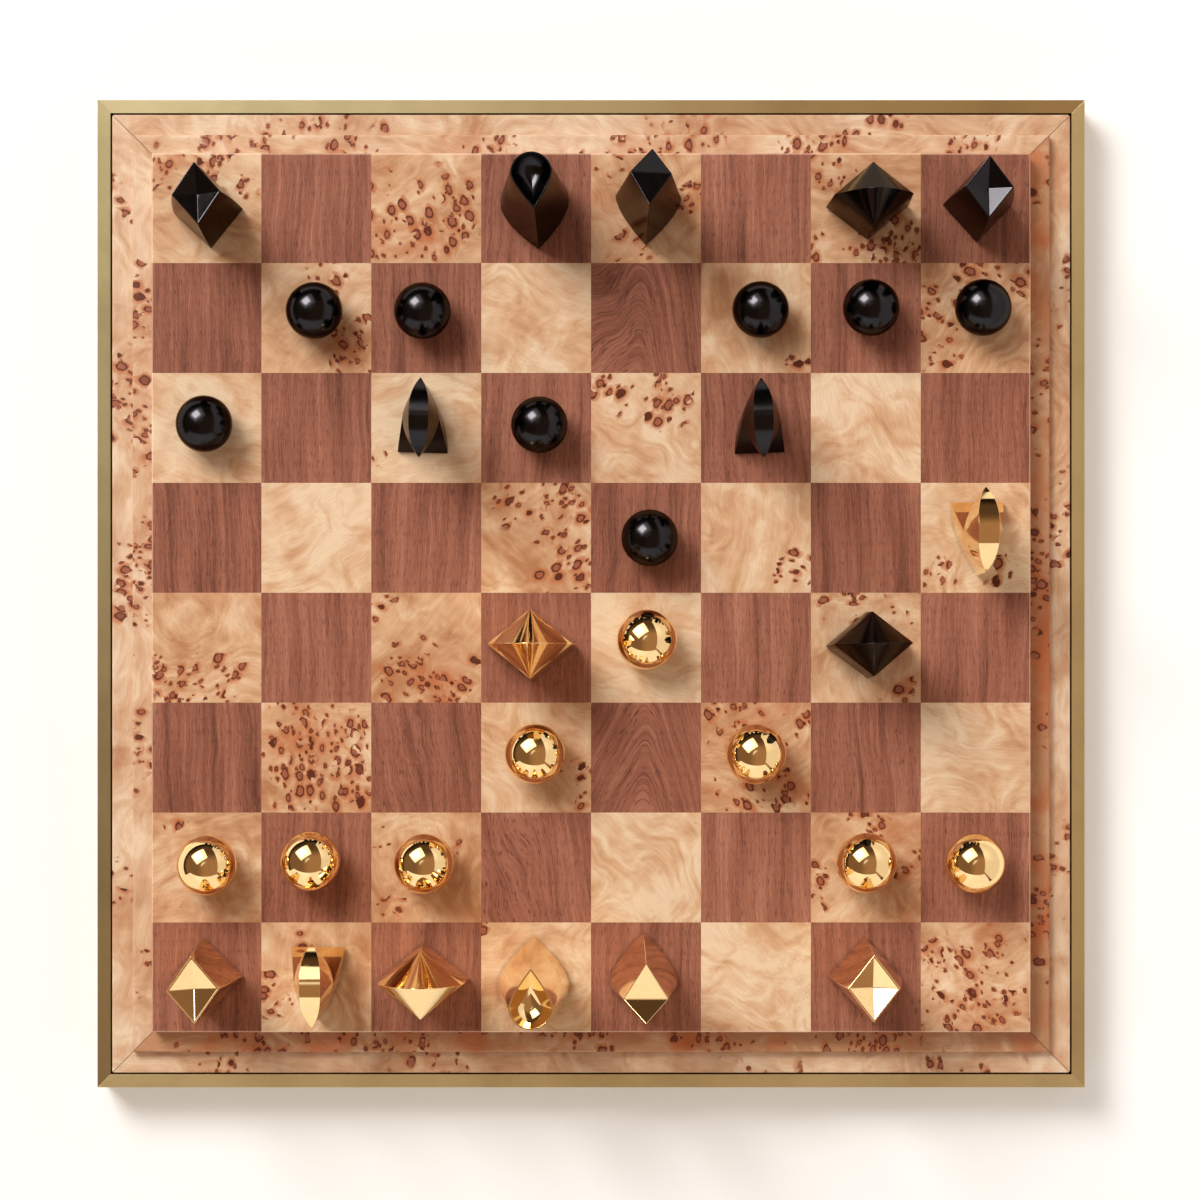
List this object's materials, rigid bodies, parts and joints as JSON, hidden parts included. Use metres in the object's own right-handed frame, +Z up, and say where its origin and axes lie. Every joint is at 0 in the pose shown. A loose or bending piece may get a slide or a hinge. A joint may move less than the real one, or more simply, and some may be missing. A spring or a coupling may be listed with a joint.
{
  "type": "chess set with board",
  "caption": "Chess board with burl and walnut squares, stepped burl ledges and a brass band, set with abstract black and gold metal pieces on felt pads",
  "frame": {"origin": "centre of the board, on the plane that the rubber feet stand on", "axes": "+Z up; +Y towards the black player's side (rank 8); +X towards file h"},
  "size_m": [0.408, 0.408, 0.101],
  "materials": {
    "board_core": "plain fibreboard, unfinished",
    "light_veneer": "figured burl veneer under satin lacquer",
    "dark_veneer": "straight-grained walnut veneer under satin lacquer",
    "burl_frame": "burl veneer on mitred rails, satin lacquer",
    "brass": "fine-brushed brass",
    "key_wood": "plain hardwood",
    "steel": "zinc-plated steel",
    "rubber": "moulded black rubber",
    "black_metal": "glossy black lacquer over cast metal",
    "gold_metal": "mirror-polished gold plate over cast metal"
  },
  "bodies": {
    "board": {"base_panel": "board_core", "core_panel": "board_core", "light_squares": "light_veneer", "dark_squares": "dark_veneer", "edge_strips": "burl_frame", "inner_rail_north": "burl_frame", "inner_rail_west": "burl_frame", "inner_rail_south": "burl_frame", "inner_rail_east": "burl_frame", "outer_rail_north": "burl_frame", "outer_rail_west": "burl_frame", "outer_rail_south": "burl_frame", "outer_rail_east": "burl_frame", "brass_band_north": "brass", "brass_band_west": "brass", "brass_band_south": "brass", "brass_band_east": "brass", "inner_mitre_keys": "key_wood", "outer_mitre_keys": "key_wood", "core_screws": "steel", "band_screws": "steel", "rubber_feet": "rubber", "foot_screws": "steel"},
    "black_rook_a": {"black_rook_a": "black_metal"},
    "black_queen": {"black_queen": "black_metal"},
    "black_king": {"black_king": "black_metal"},
    "black_bishop_f": {"black_bishop_f": "black_metal"},
    "black_rook_h": {"black_rook_h": "black_metal"},
    "black_knight_b": {"black_knight_b": "black_metal"},
    "black_knight_g": {"black_knight_g": "black_metal"},
    "black_bishop_c": {"black_bishop_c": "black_metal"},
    "black_pawn_a": {"black_pawn_a": "black_metal"},
    "black_pawn_b": {"black_pawn_b": "black_metal"},
    "black_pawn_c": {"black_pawn_c": "black_metal"},
    "black_pawn_d": {"black_pawn_d": "black_metal"},
    "black_pawn_e": {"black_pawn_e": "black_metal"},
    "black_pawn_f": {"black_pawn_f": "black_metal"},
    "black_pawn_g": {"black_pawn_g": "black_metal"},
    "black_pawn_h": {"black_pawn_h": "black_metal"},
    "gold_rook_a": {"gold_rook_a": "gold_metal"},
    "gold_knight_b": {"gold_knight_b": "gold_metal"},
    "gold_bishop_c": {"gold_bishop_c": "gold_metal"},
    "gold_queen": {"gold_queen": "gold_metal"},
    "gold_king": {"gold_king": "gold_metal"},
    "gold_rook_h": {"gold_rook_h": "gold_metal"},
    "gold_knight_g": {"gold_knight_g": "gold_metal"},
    "gold_bishop_f": {"gold_bishop_f": "gold_metal"},
    "gold_pawn_a": {"gold_pawn_a": "gold_metal"},
    "gold_pawn_b": {"gold_pawn_b": "gold_metal"},
    "gold_pawn_c": {"gold_pawn_c": "gold_metal"},
    "gold_pawn_d": {"gold_pawn_d": "gold_metal"},
    "gold_pawn_e": {"gold_pawn_e": "gold_metal"},
    "gold_pawn_f": {"gold_pawn_f": "gold_metal"},
    "gold_pawn_g": {"gold_pawn_g": "gold_metal"},
    "gold_pawn_h": {"gold_pawn_h": "gold_metal"}
  },
  "joints": [
    {"name": "lift_black_rook_a", "type": "slide", "parent": "board", "child": "black_rook_a", "axis": [0, 0, 1], "range_m": [0, 0.08]},
    {"name": "lift_black_queen", "type": "slide", "parent": "board", "child": "black_queen", "axis": [0, 0, 1], "range_m": [0, 0.08]},
    {"name": "lift_black_king", "type": "slide", "parent": "board", "child": "black_king", "axis": [0, 0, 1], "range_m": [0, 0.08]},
    {"name": "lift_black_bishop_f", "type": "slide", "parent": "board", "child": "black_bishop_f", "axis": [0, 0, 1], "range_m": [0, 0.08]},
    {"name": "lift_black_rook_h", "type": "slide", "parent": "board", "child": "black_rook_h", "axis": [0, 0, 1], "range_m": [0, 0.08]},
    {"name": "lift_black_knight_b", "type": "slide", "parent": "board", "child": "black_knight_b", "axis": [0, 0, 1], "range_m": [0, 0.08]},
    {"name": "lift_black_knight_g", "type": "slide", "parent": "board", "child": "black_knight_g", "axis": [0, 0, 1], "range_m": [0, 0.08]},
    {"name": "lift_black_bishop_c", "type": "slide", "parent": "board", "child": "black_bishop_c", "axis": [0, 0, 1], "range_m": [0, 0.08]},
    {"name": "lift_black_pawn_a", "type": "slide", "parent": "board", "child": "black_pawn_a", "axis": [0, 0, 1], "range_m": [0, 0.08]},
    {"name": "lift_black_pawn_b", "type": "slide", "parent": "board", "child": "black_pawn_b", "axis": [0, 0, 1], "range_m": [0, 0.08]},
    {"name": "lift_black_pawn_c", "type": "slide", "parent": "board", "child": "black_pawn_c", "axis": [0, 0, 1], "range_m": [0, 0.08]},
    {"name": "lift_black_pawn_d", "type": "slide", "parent": "board", "child": "black_pawn_d", "axis": [0, 0, 1], "range_m": [0, 0.08]},
    {"name": "lift_black_pawn_e", "type": "slide", "parent": "board", "child": "black_pawn_e", "axis": [0, 0, 1], "range_m": [0, 0.08]},
    {"name": "lift_black_pawn_f", "type": "slide", "parent": "board", "child": "black_pawn_f", "axis": [0, 0, 1], "range_m": [0, 0.08]},
    {"name": "lift_black_pawn_g", "type": "slide", "parent": "board", "child": "black_pawn_g", "axis": [0, 0, 1], "range_m": [0, 0.08]},
    {"name": "lift_black_pawn_h", "type": "slide", "parent": "board", "child": "black_pawn_h", "axis": [0, 0, 1], "range_m": [0, 0.08]},
    {"name": "lift_gold_rook_a", "type": "slide", "parent": "board", "child": "gold_rook_a", "axis": [0, 0, 1], "range_m": [0, 0.08]},
    {"name": "lift_gold_knight_b", "type": "slide", "parent": "board", "child": "gold_knight_b", "axis": [0, 0, 1], "range_m": [0, 0.08]},
    {"name": "lift_gold_bishop_c", "type": "slide", "parent": "board", "child": "gold_bishop_c", "axis": [0, 0, 1], "range_m": [0, 0.08]},
    {"name": "lift_gold_queen", "type": "slide", "parent": "board", "child": "gold_queen", "axis": [0, 0, 1], "range_m": [0, 0.08]},
    {"name": "lift_gold_king", "type": "slide", "parent": "board", "child": "gold_king", "axis": [0, 0, 1], "range_m": [0, 0.08]},
    {"name": "lift_gold_rook_h", "type": "slide", "parent": "board", "child": "gold_rook_h", "axis": [0, 0, 1], "range_m": [0, 0.08]},
    {"name": "lift_gold_knight_g", "type": "slide", "parent": "board", "child": "gold_knight_g", "axis": [0, 0, 1], "range_m": [0, 0.08]},
    {"name": "lift_gold_bishop_f", "type": "slide", "parent": "board", "child": "gold_bishop_f", "axis": [0, 0, 1], "range_m": [0, 0.08]},
    {"name": "lift_gold_pawn_a", "type": "slide", "parent": "board", "child": "gold_pawn_a", "axis": [0, 0, 1], "range_m": [0, 0.08]},
    {"name": "lift_gold_pawn_b", "type": "slide", "parent": "board", "child": "gold_pawn_b", "axis": [0, 0, 1], "range_m": [0, 0.08]},
    {"name": "lift_gold_pawn_c", "type": "slide", "parent": "board", "child": "gold_pawn_c", "axis": [0, 0, 1], "range_m": [0, 0.08]},
    {"name": "lift_gold_pawn_d", "type": "slide", "parent": "board", "child": "gold_pawn_d", "axis": [0, 0, 1], "range_m": [0, 0.08]},
    {"name": "lift_gold_pawn_e", "type": "slide", "parent": "board", "child": "gold_pawn_e", "axis": [0, 0, 1], "range_m": [0, 0.08]},
    {"name": "lift_gold_pawn_f", "type": "slide", "parent": "board", "child": "gold_pawn_f", "axis": [0, 0, 1], "range_m": [0, 0.08]},
    {"name": "lift_gold_pawn_g", "type": "slide", "parent": "board", "child": "gold_pawn_g", "axis": [0, 0, 1], "range_m": [0, 0.08]},
    {"name": "lift_gold_pawn_h", "type": "slide", "parent": "board", "child": "gold_pawn_h", "axis": [0, 0, 1], "range_m": [0, 0.08]}
  ]
}
